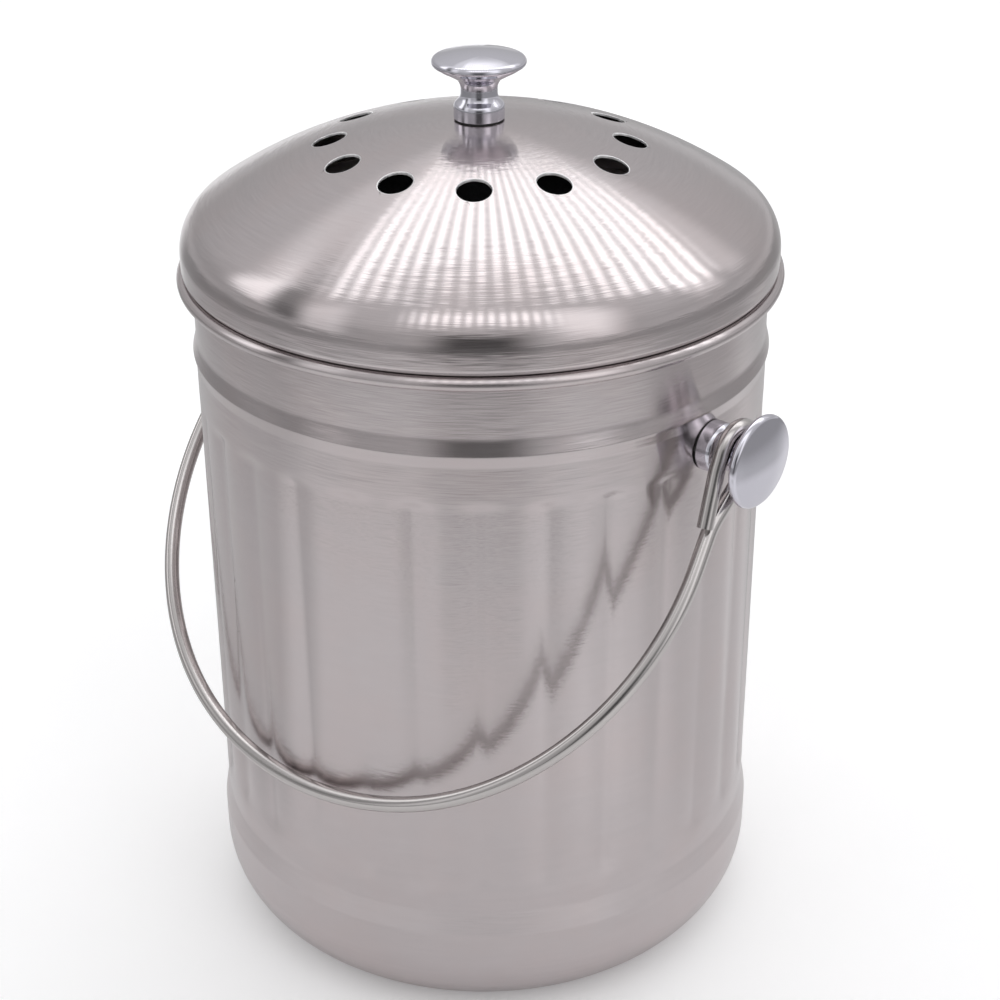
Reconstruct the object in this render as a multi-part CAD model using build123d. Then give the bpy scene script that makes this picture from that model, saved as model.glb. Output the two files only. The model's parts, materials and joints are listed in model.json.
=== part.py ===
from build123d import *
import math
import os

# Counter-top scrap pail in stainless sheet: a ribbed pail, a domed lift-off lid
# with vent holes and a carbon filter, and a wire bail on two round knobs.
# Millimetres.  Origin at the centre of the base, +Z up, +X along the bail's
# pivot axis, and the bail hangs down the -Y side.

# ---- sheet and pail -------------------------------------------------------
sheet = 0.8                    # stainless sheet of the pail, lid and plug ring
pail_height = 226.0            # base to the top of the rolled rim
body_radius = 87.8             # outside of the plain wall
neck_inset = 0.3               # the wall under the rim is this much slimmer
step_proud = 0.85              # the upper band swells out by this much
foot_proud = 1.4               # the smooth lower band stands out by this much
bead_radius = 2.0              # half the thickness of the rolled rim
bead_overhang = 2.2            # rolled rim's centre, outside the plain wall
corner_radius = 26.0           # rounded corner between the wall and the base
stand_width = 7.2              # flat ring of the base that the pail stands on
panel_rise = 1.5               # height of the recess inside that ring
panel_slope = 4.0              # width of the slope around the recess
panel_bend = 3.0
foot_bend = 6.0                # rounding of the draw-in above the lower band
band_low_bend = 3.0            # rounding under the upper band
band_top_bend = 1.5            # rounding of the upper band's crest
neck_bend = 6.0
rim_shoulder = 1.3             # rounding of the rim's inner edge
foot_height = 36.0             # where the lower band starts to draw in
foot_taper = 8.0               # height of the draw-in
band_drop = 23.6               # rim top down to the fullest part of the band
band_rise = 8.6                # from there up to the slim neck
band_fall = 4.0                # from there down to the plain wall

# ---- ribs -----------------------------------------------------------------
rib_count = 29
rib_depth = 0.65               # crest of a rib to the crease beside it
rib_first_angle = 0.93         # first crease, measured from +X
rib_bottom = 52.5
rib_top_drop = 41.0            # rim top down to the upper end of the ribs
rib_run_out = 2.0              # height over which a crease fades out
rib_relief = 0.05              # rib crests sit this far inside the plain wall
rib_cutter_margin = 0.2        # cutting depth beyond the creases

# ---- lid ------------------------------------------------------------------
lid_crown_radius = 152.0       # curvature of the dome
lid_shoulder_radius = 14.0
lid_skirt_height = 4.7554      # upright edge below the shoulder
lid_edge_gap = 1.3             # dark line between the rim and the dome's edge
lid_overlap = 0.5              # dome's outside beyond the rim's centre line
vent_count = 12
vent_radius = 5.0
vent_circle = 44.6
vent_first_angle = 9.6         # first vent, measured from +X
plug_gap = 0.5                 # plug ring inside the pail's neck
plug_depth = 14.0              # how far the plug ring reaches into the pail
plug_lip = 3.6                 # inward lip that stops the filter
plug_upstand = 3.0             # welded collar inside the dome
plug_rest_gap = 0.2            # plug ring's flange above the rim

# ---- filter and its clips --------------------------------------------------
filter_gap = 0.8               # filter inside the plug ring
carbon_thickness = 6.0
fleece_thickness = 2.0
clip_count = 4
clip_first_angle = 45.0
clip_sheet = 0.6
clip_width = 10.0
clip_reach = 9.0
clip_foot = 4.0

# ---- knobs (one on the lid, two as bail pivots) ------------------------------
knob_base_radius = 7.6
knob_base_height = 3.8
knob_waist_radius = 5.5
knob_base_slope = 2.2          # height over which the base narrows to the waist
knob_waist_length = 4.8
knob_flare_height = 5.4        # waist to the lower edge of the head
knob_head_radius = 14.0
knob_head_thickness = 3.3
knob_edge_radius = 1.5
knob_crown = 0.7
knob_flare_radius = 12.0
knob_flare_drop = 1.4
knob_neck_bend = 3.0           # rounding under the head
knob_lip_bend = 1.2            # rounding of the head's lower edge
gasket_thickness = 0.6
gasket_margin = 0.3
gasket_blank_height = 3.0      # before it is trimmed to the wall

# ---- screws and washers ------------------------------------------------------
screw_radius = 2.0
screw_clearance = 0.05
screw_bite = 8.0               # length of thread inside a knob
screw_tip_gap = 1.0
screw_head_radius = 3.75
screw_head_height = 2.4
screw_head_bend = 1.2
screw_hole_radius = 2.2
washer_radius = 4.5
washer_thickness = 1.0
lock_washer_radius = 3.5
lock_washer_thickness = 0.9
lock_washer_gap = 0.7
lock_washer_slant = 35.0
cross_slot_width = 1.1
cross_slot_length = 4.4
cross_slot_depth = 1.3

# ---- bail ---------------------------------------------------------------------
pivot_drop = 36.0              # rim top down to the pivot axis
wire_radius = 2.4
eye_shift = 0.5                # eye, outside the middle of the knob's waist
eye_clearance = 0.35           # wire inside the eye to the knob's waist
bow_side_slack = 5.05          # side arcs are this much tighter than half the bow's width
bow_bottom_slack = 7.7         # bottom arc is this much flatter than half its width
bow_offset = 4.2               # the bow lies this far behind the pivot axis
leg_knee_drop = 22.0           # where the leg bends to wrap the knob
leg_knee_radius = 25.0
leg_run = 12.25                # from the knee to the start of the side arc
leg_splay = 7.0                # degrees that this run leans outwards
tail_drop = 23.5               # cut end of the eye's tail
tail_gap = 0.3                 # between the tail and the leg
tail_knee_drop = 8.0
tail_knee_radius = 40.0
tail_lean = 1.3                # tail end, outside the eye's plane
bail_rest_gap = 0.6            # between the resting bow and the ribs

# ---- worked out from the sizes above --------------------------------------------
neck_radius = body_radius - neck_inset
band_radius = body_radius + step_proud
foot_radius = body_radius + foot_proud
bead_centre = body_radius + bead_overhang
bead_height = pail_height - bead_radius
band_height = pail_height - band_drop
rib_top = pail_height - rib_top_drop
pivot_height = pail_height - pivot_drop
pitch = 2 * math.pi / rib_count
panel_radius = foot_radius - corner_radius - stand_width - panel_slope / 2

lid_radius = bead_centre + lid_overlap
lid_edge = pail_height + lid_edge_gap
shoulder_middle = lid_radius - lid_shoulder_radius
shoulder_height = lid_edge + lid_skirt_height
crown_swing = math.asin(shoulder_middle / (lid_crown_radius - lid_shoulder_radius))
shoulder_rise = (lid_crown_radius - lid_shoulder_radius) * math.cos(crown_swing)
crown_centre = shoulder_height - shoulder_rise
lid_top = crown_centre + lid_crown_radius

plug_radius = neck_radius - sheet - plug_gap
plug_bottom = pail_height - plug_depth
flange_bottom = pail_height + plug_rest_gap
filter_radius = plug_radius - sheet - filter_gap
filter_bottom = flange_bottom - carbon_thickness - fleece_thickness

knob_waist_start = knob_base_height + knob_base_slope
knob_waist_end = knob_waist_start + knob_waist_length
knob_head_start = knob_waist_end + knob_flare_height
knob_height = knob_head_start + knob_head_thickness

pivot_seat = body_radius + gasket_thickness
lid_seat = lid_top + gasket_thickness
eye_plane = pivot_seat + (knob_waist_start + knob_waist_end) / 2 + eye_shift
eye_radius = knob_waist_radius + eye_clearance + wire_radius

splay = math.radians(leg_splay)
side_arc_start = eye_plane + leg_run * math.sin(splay) - bow_side_slack
side_arc = side_arc_start / math.cos(splay)
bottom_arc = side_arc + bow_side_slack + bow_bottom_slack
side_drop = leg_knee_drop + leg_run * math.cos(splay) + side_arc * math.sin(splay)
join = math.asin(bow_side_slack / (bottom_arc - side_arc))
bow_centre_drop = side_drop - (bottom_arc - side_arc) * math.cos(join)
bow_drop = bow_centre_drop + bottom_arc


def turned(outline):
    """Turn a closed outline, drawn as (radius, height), about the Z axis."""
    return revolve(Rot(90, 0, 0) * make_face(outline), Axis.Z)


def turned_polygon(*points):
    """Turn a closed polygon, given by its (radius, height) corners, about the Z axis."""
    return turned(Polyline(*points, close=True))


def tube(outer, inner, low, high):
    return turned_polygon((inner, low), (outer, low), (outer, high), (inner, high))


def disc(radius, low, high):
    return turned_polygon((0, low), (radius, low), (radius, high), (0, high))


def around(solid, count, first_angle=0.0):
    """Copies of a solid spaced evenly about the Z axis."""
    return [Rot(0, 0, first_angle + k * 360 / count) * solid for k in range(count)]


# ---- pail ------------------------------------------------------------------------
def wall_path(inset, top):
    """Outside line of the pail from the base's centre to a height in its neck, moved in."""
    slope_middle = panel_radius + inset * math.tan(math.atan2(panel_rise, panel_slope) / 2)
    corners = [
        (0, panel_rise + inset),
        (slope_middle - panel_slope / 2, panel_rise + inset),
        (slope_middle + panel_slope / 2, inset),
        (foot_radius - inset, inset),
        (foot_radius - inset, foot_height),
        (body_radius - inset, foot_height + foot_taper),
        (body_radius - inset, band_height - band_fall),
        (band_radius - inset, band_height),
        (neck_radius - inset, band_height + band_rise),
        (neck_radius - inset, top),
    ]
    low_radii = [panel_bend, panel_bend, corner_radius - inset, foot_bend, foot_bend]
    high_radii = [band_low_bend, band_top_bend, neck_bend]
    return FilletPolyline(*corners, radius=low_radii + high_radii)


def wall_filled(inset, top):
    """The solid inside the pail's outside line moved in by inset, up to a height."""
    close = Polyline((neck_radius - inset, top), (0, top), (0, panel_rise + inset))
    return turned([wall_path(inset, top), close])


def rib_prism(crest, low, high):
    """A bar whose outline is one shallow convex arc for each rib."""
    crease = crest - rib_depth
    arcs = []
    for k in range(rib_count):
        start = math.radians(rib_first_angle) + k * pitch
        ends = [start, start + pitch / 2, start + pitch]
        reach = [crease, crest, crease]
        points = [(r * math.cos(a), r * math.sin(a)) for r, a in zip(reach, ends)]
        arcs.append(ThreePointArc(*points))
    return Pos(0, 0, low) * extrude(make_face(arcs), high - low)


def rib_cutter(wall_radius, low, high):
    """What is pressed in from a plain wall to leave the ribs."""
    crest = wall_radius - rib_relief
    deep = crest - rib_depth - rib_cutter_margin
    far = bead_centre + bead_radius
    ring = turned_polygon(
        (deep, low + rib_run_out),
        (wall_radius, low),
        (far, low),
        (far, high),
        (wall_radius, high),
        (deep, high - rib_run_out),
    )
    return ring - rib_prism(crest, low - 1, high + 1)


def pail_outside():
    plain = wall_filled(0, bead_height)
    return plain - rib_cutter(body_radius, rib_bottom, rib_top)


def pail_inside():
    plain = wall_filled(sheet, pail_height + 1)
    inner_low, inner_high = rib_bottom + sheet, rib_top - sheet
    return plain - rib_cutter(body_radius - sheet, inner_low, inner_high)


def rolled_rim():
    inner = neck_radius - sheet
    bead = Pos(bead_centre, bead_height) * Circle(bead_radius)
    bridge_width = bead_centre - inner
    bridge = Pos(inner + bridge_width / 2, bead_height + bead_radius / 2)
    bridge = bridge * Rectangle(bridge_width, bead_radius)
    corner = bridge.vertices().group_by(Axis.Y)[-1].sort_by(Axis.X)[0]
    section = fillet(corner, rim_shoulder) + bead
    return revolve(Rot(90, 0, 0) * section, Axis.Z)


def pivot_hole():
    return Rot(0, 90, 0) * Cylinder(screw_hole_radius, 2 * bead_centre)


def at_pivot(solid, side):
    """Stand a solid built upwards from z=0 on a pivot seat, on the +X or -X side."""
    seat = Pos(side * pivot_seat, 0, pivot_height)
    return seat * Rot(0, side * 90, 0) * solid


def make_pail():
    shell = pail_outside() + rolled_rim() - pail_inside()
    return shell - Pos(0, 0, pivot_height) * pivot_hole()


# ---- lid ---------------------------------------------------------------------------
def dome_path(inset):
    """Outside line of the dome from its top to its edge, moved in by inset."""
    crown = lid_crown_radius - inset
    shoulder = lid_shoulder_radius - inset

    def on_crown(angle):
        return crown * math.sin(angle), crown_centre + crown * math.cos(angle)

    def on_shoulder(angle):
        across = shoulder_middle + shoulder * math.sin(angle)
        return across, shoulder_height + shoulder * math.cos(angle)

    upright = math.pi / 2
    middle = (crown_swing + upright) / 2
    top_arc = ThreePointArc(on_crown(0), on_crown(crown_swing / 2), on_crown(crown_swing))
    side = ThreePointArc(on_shoulder(crown_swing), on_shoulder(middle), on_shoulder(upright))
    skirt = Line(on_shoulder(upright), (lid_radius - inset, lid_edge))
    return [top_arc, side, skirt]


def dome_filled(inset):
    close = Polyline((lid_radius - inset, lid_edge), (0, lid_edge), (0, lid_top - inset))
    return turned(dome_path(inset) + [close])


def make_dome():
    dome_height = lid_top - lid_edge
    vent = Pos(vent_circle, 0, lid_top) * Cylinder(vent_radius, 2 * dome_height)
    dome = dome_filled(0) - dome_filled(sheet)
    dome = dome - around(vent, vent_count, vent_first_angle)
    return dome - Pos(0, 0, lid_top) * Cylinder(screw_hole_radius, dome_height)


def make_plug_ring():
    skirt = tube(plug_radius, plug_radius - sheet, plug_bottom, flange_bottom + sheet)
    collar_radius = lid_radius - sheet
    flange = tube(collar_radius, plug_radius - plug_lip, flange_bottom, flange_bottom + sheet)
    top = lid_edge + plug_upstand
    collar = tube(collar_radius, collar_radius - sheet, flange_bottom, top)
    return skirt + flange + collar


def make_clip():
    """One bent strip: a leg welded inside the plug ring and a tab under the filter."""
    wall = plug_radius - sheet
    top = filter_bottom
    tab = Box(clip_reach, clip_width, clip_sheet, align=(Align.MAX, Align.CENTER, Align.MAX))
    leg = Box(2 * clip_sheet, clip_width, clip_foot, align=(Align.MAX, Align.CENTER, Align.MAX))
    strip = Pos(wall + clip_sheet, 0, top) * tab + Pos(wall + clip_sheet, 0, top) * leg
    return strip & disc(wall, top - clip_foot, top)


def make_clips():
    return around(make_clip(), clip_count, clip_first_angle)


# ---- knobs, screws and washers -------------------------------------------------------
def make_knob():
    waist_top = (knob_waist_radius, knob_waist_end)
    crown_radius = knob_head_radius - 2 * knob_edge_radius
    crown_foot = (crown_radius, knob_height - knob_crown)
    crown_slope = 2 * math.atan(knob_crown / crown_radius)
    edge_top = crown_foot[1] - 2 * knob_edge_radius * math.tan(crown_slope)
    edge = FilletPolyline(
        waist_top,
        (knob_flare_radius, knob_head_start - knob_flare_drop),
        (knob_head_radius, knob_head_start),
        (knob_head_radius, edge_top),
        crown_foot,
        radius=[knob_neck_bend, knob_lip_bend, knob_edge_radius],
    )
    sphere = crown_radius / math.sin(crown_slope)
    middle_r = sphere * math.sin(crown_slope / 2)
    middle_z = knob_height - sphere * (1 - math.cos(crown_slope / 2))
    crown = ThreePointArc(crown_foot, (middle_r, middle_z), (0, knob_height))
    base = Polyline(
        (0, knob_height),
        (0, 0),
        (knob_base_radius, 0),
        (knob_base_radius, knob_base_height),
        (knob_waist_radius, knob_waist_start),
        waist_top,
    )
    body = turned([base, edge, crown])
    return body - disc(screw_radius + screw_clearance, -1, screw_bite + screw_tip_gap)


def make_screw(grip):
    """Pan-head screw that stands point up: z=0 is the knob's seat, grip is below it."""
    shank = disc(screw_radius, -grip, screw_bite)
    head = disc(screw_head_radius, -grip - screw_head_height, -grip)
    rim = head.edges().filter_by(GeomType.CIRCLE).group_by(Axis.Z)[0]
    head = fillet(rim, screw_head_bend)
    slot = Box(cross_slot_length, cross_slot_width, 2 * cross_slot_depth)
    slots = slot + Rot(0, 0, 90) * slot
    return shank + head - Pos(0, 0, -grip - screw_head_height) * slots


def make_lock_washer(top):
    ring = tube(lock_washer_radius, screw_hole_radius, top - lock_washer_thickness, top)
    cut = Box(2 * lock_washer_radius, lock_washer_gap, 4 * lock_washer_thickness)
    return ring - Pos(lock_washer_radius, 0, top) * Rot(lock_washer_slant, 0, 0) * cut


def make_gasket_blank():
    return tube(knob_base_radius + gasket_margin, screw_hole_radius, -gasket_blank_height, 0)


def make_washer_blank(face):
    return tube(washer_radius, screw_hole_radius, face, face + 3 * washer_thickness)


def export_knob_set(prefix, suffix, place, outside, inside):
    """A knob with its gasket, washers and screw, clamped through one wall."""
    washer_face = -gasket_thickness - sheet - washer_thickness
    grip = -washer_face + lock_washer_thickness
    save(place(make_knob()), prefix + "knob" + suffix)
    save(place(make_gasket_blank()) - outside, prefix + "gasket" + suffix)
    save(place(make_washer_blank(washer_face)) & inside, prefix + "washer" + suffix)
    save(place(make_lock_washer(washer_face)), prefix + "lock_washer" + suffix)
    save(place(make_screw(grip)), prefix + "screw" + suffix)


# ---- bail -------------------------------------------------------------------------------
def rounded_corner(before, corner, after, radius):
    """Ends and middle of the arc that rounds a corner between three points in space."""
    back = (Vector(before) - Vector(corner)).normalized()
    ahead = (Vector(after) - Vector(corner)).normalized()
    half = math.radians(back.get_angle(ahead)) / 2
    bisector = (back + ahead).normalized()
    cut = radius / math.tan(half)
    middle = Vector(corner) + bisector * (radius / math.sin(half) - radius)
    return Vector(corner) + back * cut, middle, Vector(corner) + ahead * cut


def tangent_point(across, drop, radius, side):
    """Where a line from (across, drop) touches a circle about the origin."""
    away = math.hypot(across, drop)
    angle = math.atan2(across, drop) + side * math.acos(radius / away)
    return radius * math.sin(angle), radius * math.cos(angle)


def bail_half(side):
    """Edges of half the bail, from the bow's bottom to the tail, hanging straight down.

    A place is given as its distance across, in front of the pivot axis and below it."""

    def at(x, forward, drop):
        return Vector(side * x, -forward, -drop)

    def on_bottom(angle):
        drop = bow_centre_drop + bottom_arc * math.cos(angle)
        return at(bottom_arc * math.sin(angle), behind, drop)

    def on_side(angle):
        across = bow_side_slack + side_arc * math.sin(angle)
        return at(across, behind, side_drop + side_arc * math.cos(angle))

    behind = -bow_offset
    leave = math.pi / 2 + splay
    leg_end = tangent_point(behind, leg_knee_drop, eye_radius, -1)
    tail_side = behind + math.sqrt((2 * wire_radius + tail_gap) ** 2 - tail_lean**2)
    tail_start = tangent_point(tail_side, tail_drop, eye_radius, 1)
    slope = (tail_side - tail_start[0]) / (tail_drop - tail_start[1])
    tail_knee = tail_start[0] + slope * (tail_knee_drop - tail_start[1])

    leg_top = at(eye_plane, *leg_end)
    eye_top = at(eye_plane, 0, -eye_radius)
    tail_top = at(eye_plane, *tail_start)
    tail_end = at(eye_plane + tail_lean, tail_side, tail_drop)
    knee = at(eye_plane, behind, leg_knee_drop)
    bend = at(eye_plane, tail_knee, tail_knee_drop)
    knee_arc = rounded_corner(on_side(leave), knee, leg_top, leg_knee_radius)
    bend_arc = rounded_corner(tail_top, bend, tail_end, tail_knee_radius)
    return [
        ThreePointArc(on_bottom(0), on_bottom(join / 2), on_bottom(join)),
        ThreePointArc(on_side(join), on_side((join + leave) / 2), on_side(leave)),
        Line(on_side(leave), knee_arc[0]),
        ThreePointArc(*knee_arc),
        Line(knee_arc[2], leg_top),
        ThreePointArc(leg_top, eye_top, tail_top),
        Line(tail_top, bend_arc[0]),
        ThreePointArc(*bend_arc),
        Line(bend_arc[2], tail_end),
    ]


def bail_rest_angle(side):
    """Swing from straight down to where the bow meets the ribs: side 1 front, -1 back."""
    contact = body_radius + wire_radius + bail_rest_gap
    lean = math.asin(contact / math.hypot(bow_drop, bow_offset))
    return math.degrees(lean + side * math.atan(bow_offset / bow_drop))


def make_bail():
    edges = bail_half(1) + bail_half(-1)
    path = Wire(edges)
    end = path @ 0
    section = Plane(origin=end, z_dir=path % 0) * Circle(wire_radius)
    bail = sweep(section, path=path)
    length = sum(edge.length for edge in edges)
    expected = math.pi * wire_radius**2 * length
    print(f"bail wire length {length:.1f} mm, volume ratio {bail.volume / expected:.4f}")
    front = bail_rest_angle(1)
    print(f"bail hangs {front:.2f} deg forward, swings {360 - front - bail_rest_angle(-1):.2f} deg")
    return Pos(0, 0, pivot_height) * Rot(-front, 0, 0) * bail


# ---- output ---------------------------------------------------------------------------------
def save(shape, node):
    solids = shape if isinstance(shape, list) else [shape]
    pieces = [solid for item in solids for solid in item.solids()]
    whole = pieces[0] if len(pieces) == 1 else Compound(children=pieces)
    whole.label = node
    export_step(whole, f"parts/{node}.step")


def at_right(solid):
    return at_pivot(solid, 1)


def at_left(solid):
    return at_pivot(solid, -1)


def at_lid(solid):
    return Pos(0, 0, lid_seat) * solid


def main():
    os.makedirs("parts", exist_ok=True)
    outside, inside = pail_outside(), pail_inside()
    save(make_pail(), "pail_shell")
    export_knob_set("pivot_", "_right", at_right, outside, inside)
    export_knob_set("pivot_", "_left", at_left, outside, inside)
    save(make_bail(), "bail_wire")
    save(make_dome(), "lid_dome")
    save(make_plug_ring(), "lid_plug_ring")
    save(make_clips(), "filter_clips")
    fleece_top = filter_bottom + fleece_thickness
    save(disc(filter_radius, filter_bottom, fleece_top), "filter_fleece")
    save(disc(filter_radius, fleece_top, flange_bottom), "filter_carbon_pad")
    export_knob_set("lid_", "", at_lid, dome_filled(0), dome_filled(sheet))


main()
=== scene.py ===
import json
import math

import bmesh
import bpy
from mathutils import Matrix, Vector

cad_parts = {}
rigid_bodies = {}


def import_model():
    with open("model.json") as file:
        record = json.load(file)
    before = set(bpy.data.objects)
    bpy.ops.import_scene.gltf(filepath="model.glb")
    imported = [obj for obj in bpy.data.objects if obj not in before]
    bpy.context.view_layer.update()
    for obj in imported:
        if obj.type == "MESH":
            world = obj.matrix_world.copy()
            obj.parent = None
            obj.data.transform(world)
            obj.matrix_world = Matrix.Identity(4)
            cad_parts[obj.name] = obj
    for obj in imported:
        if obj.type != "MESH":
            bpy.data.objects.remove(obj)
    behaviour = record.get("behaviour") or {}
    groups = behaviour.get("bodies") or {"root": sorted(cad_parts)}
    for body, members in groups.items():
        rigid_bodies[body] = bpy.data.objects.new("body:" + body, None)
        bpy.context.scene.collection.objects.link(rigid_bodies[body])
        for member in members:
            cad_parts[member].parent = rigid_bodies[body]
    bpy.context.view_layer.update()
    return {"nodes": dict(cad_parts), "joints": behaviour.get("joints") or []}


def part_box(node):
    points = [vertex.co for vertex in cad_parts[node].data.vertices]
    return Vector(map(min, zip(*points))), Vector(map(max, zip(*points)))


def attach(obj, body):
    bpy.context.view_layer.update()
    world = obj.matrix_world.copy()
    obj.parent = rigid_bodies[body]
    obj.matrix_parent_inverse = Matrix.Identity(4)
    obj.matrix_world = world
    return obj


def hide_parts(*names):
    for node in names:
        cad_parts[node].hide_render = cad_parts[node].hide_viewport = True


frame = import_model()

bl_info = {
    "name": "Counter-top compost pail",
    "version": (1, 0, 0),
    "blender": (4, 5, 0),
    "location": "View3D > Sidebar > Compost pail",
    "description": "Ribbed stainless compost pail with a vented lid, a bail and a carbon filter",
    "category": "Mesh",
}

MM = 0.001
TURN = 2 * math.pi
WHITE = (1.0, 1.0, 1.0, 1.0)

pail_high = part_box("pail_shell")[1]
dome_low, dome_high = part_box("lid_dome")
knob_low, knob_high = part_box("lid_knob")
side_knob_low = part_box("pivot_knob_right")[0]
plug_low, plug_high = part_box("lid_plug_ring")
clips_low, clips_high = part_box("filter_clips")
fleece_low, fleece_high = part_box("filter_fleece")
carbon_low, carbon_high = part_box("filter_carbon_pad")
bail_joint = next(joint for joint in frame["joints"] if joint["name"] == "bail_swing")
pivot = Vector(bail_joint["pos_m"])


# ---- sizes and colours that a user would change ----
def field(make, scale=None, **settings):
    """A maker of properties of one kind, whose defaults are given in one unit."""

    def named(name, description, value):
        default = value if scale is None else value * scale
        return make(name=name, description=description, default=default, **settings)

    return named


length = field(bpy.props.FloatProperty, MM, unit="LENGTH", precision=5)
degrees = field(bpy.props.FloatProperty, math.radians(1), subtype="ANGLE")
count = field(bpy.props.IntProperty, min=1)
share = field(bpy.props.FloatProperty, min=0, max=1, subtype="FACTOR")
colour = field(bpy.props.FloatVectorProperty, size=3, min=0, max=1, subtype="COLOR")


class PailSizes(bpy.types.PropertyGroup):
    sheet: length("Sheet", "Thickness of the pail's and the lid's sheet", 0.8)
    body_radius: length("Body radius", "Outside of the plain wall", 87.8)
    neck_inset: length("Neck inset", "The wall under the rim is this much slimmer", 0.3)
    step_proud: length("Step", "The upper band swells out by this much", 0.85)
    foot_proud: length("Foot", "The smooth lower band stands out by this much", 1.4)
    bead_radius: length("Bead radius", "Half the thickness of the rolled rim", 2.0)
    corner_radius: length("Corner radius", "Between the wall and the base", 26.0)
    stand_width: length("Standing ring", "Flat ring that the pail stands on", 7.2)
    panel_rise: length("Recess", "Height of the recess inside the standing ring", 1.5)
    panel_slope: length("Recess slope", "Width of the slope around the recess", 4.0)
    foot_height: length("Foot height", "Where the lower band starts to draw in", 36.0)
    foot_taper: length("Foot taper", "Height of the draw-in", 8.0)
    band_drop: length("Band drop", "Rim down to the fullest part of the band", 24.7)
    band_rise: length("Band rise", "From there up to the neck", 4.6)
    band_fall: length("Band fall", "From there down to the plain wall", 3.6)
    rib_count: count("Ribs", "Number of upright ribs", 29)
    rib_columns: count("Rib columns", "Columns of faces across one rib", 12)
    rib_depth: length("Rib depth", "From a rib's crest to the crease beside it", 0.98)
    rib_relief: length("Rib relief", "Rib crests sit this far inside the plain wall", 0.05)
    rib_first: degrees("First crease", "Angle of the first crease from +X", 0.93)
    rib_bottom: length("Rib bottom", "Lower end of the ribs", 51.0)
    rib_top_drop: length("Rib top drop", "Rim down to the upper end of the ribs", 39.2)
    rib_run_out: length("Rib run-out", "Height over which a crease fades out at its top", 3.0)
    rib_foot_run: length("Rib foot run-out", "The same at the crease's lower end", 7.0)
    pivot_hole: length("Pivot hole", "Radius of the screw holes", 2.2)


class LidSizes(bpy.types.PropertyGroup):
    crown_radius: length("Crown radius", "Curvature of the dome", 152.0)
    shoulder_radius: length("Shoulder radius", "Rounding between the crown and the edge", 14.0)
    columns: count("Columns", "Columns of faces around the dome", 288)
    vent_count: count("Vents", "Number of vent holes", 12)
    vent_radius: length("Vent radius", "Radius of one vent hole", 5.0)
    vent_circle: length("Vent circle", "Radius of the circle of vents", 44.6)
    vent_first: degrees("First vent", "Angle of the first vent from +X", 9.6)
    vent_edge: length("Vent edge", "Rounding of a punched edge", 0.2)
    plug_gap: length("Plug gap", "Between the plug ring and the pail's neck", 0.5)
    plug_lip: length("Plug lip", "Inward lip above the filter", 3.6)
    clip_sheet: length("Clip sheet", "Thickness of a filter clip", 0.6)
    clip_width: length("Clip width", "Width of a filter clip", 10.0)


class KnobSizes(bpy.types.PropertyGroup):
    base_radius: length("Base radius", "Foot of a knob", 7.6)
    base_height: length("Base height", "Upright side of the foot", 3.8)
    waist_radius: length("Waist radius", "Neck that is gripped, or that an eye turns on", 5.5)
    waist_start: length("Waist start", "Above the seat", 6.0)
    waist_end: length("Waist end", "Above the seat", 10.8)
    flare_radius: length("Flare radius", "Where the flare meets the head's rounding", 12.0)
    flare_drop: length("Flare drop", "That place, below the head's lower edge", 1.4)
    head_start: length("Head start", "The head's lower edge above the seat", 15.8)
    edge_radius: length("Edge radius", "Rounding of the head's upper edge", 1.5)
    crown: length("Crown", "Rise of the head's face", 1.3)
    skirt: length("Skirt", "The foot reaches this far over the ring under it", 0.32)
    gasket: length("Gasket", "Thickness of the ring under a knob", 0.6)
    gasket_radius: length("Gasket radius", "Outside of the ring under a knob", 7.35)
    screw_radius: length("Screw radius", "Shank of the screw behind a knob", 2.0)
    screw_bite: length("Screw bite", "Length of the shank in the knob", 8.0)
    screw_head_radius: length("Screw head", "Radius of the pan head", 3.75)
    screw_head_height: length("Screw head height", "Height of the pan head", 2.4)
    washer: length("Washer", "Thickness of the flat washer", 1.0)
    lock_washer: length("Lock washer", "Thickness of the spring washer", 0.9)


class BailSizes(bpy.types.PropertyGroup):
    wire_radius: length("Wire radius", "Half the thickness of the wire", 2.4)
    eye_shift: length("Eye shift", "The eye, outside the middle of the knob's waist", 0.5)
    eye_clearance: length("Eye clearance", "Between the wire and the knob's waist", 0.35)
    side_slack: length("Side slack", "Side arcs are tighter than half the bow by this", 5.05)
    bottom_slack: length("Bottom slack", "The bottom arc is flatter than half the bow by this", 7.7)
    offset: length("Offset", "The bow lies this far behind the pivot axis", 4.2)
    knee_drop: length("Knee drop", "Where the leg bends to wrap the knob", 22.0)
    knee_radius: length("Knee radius", "Bend of the knee", 25.0)
    leg_run: length("Leg run", "From the knee to the start of the side arc", 12.25)
    leg_splay: degrees("Leg splay", "Lean of that run", 7.0)
    tail_drop: length("Tail drop", "Cut end of the eye's tail below the axis", 23.5)
    tail_gap: length("Tail gap", "Between the tail and the leg", 0.3)
    tail_knee_drop: length("Tail knee drop", "Bend of the tail below the axis", 8.0)
    tail_knee_radius: length("Tail knee radius", "Bend of the tail", 40.0)
    tail_lean: length("Tail lean", "The tail's end, outside the eye's plane", 1.3)
    rest_gap: length("Rest gap", "Between the resting bow and the ribs", 0.6)


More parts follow.
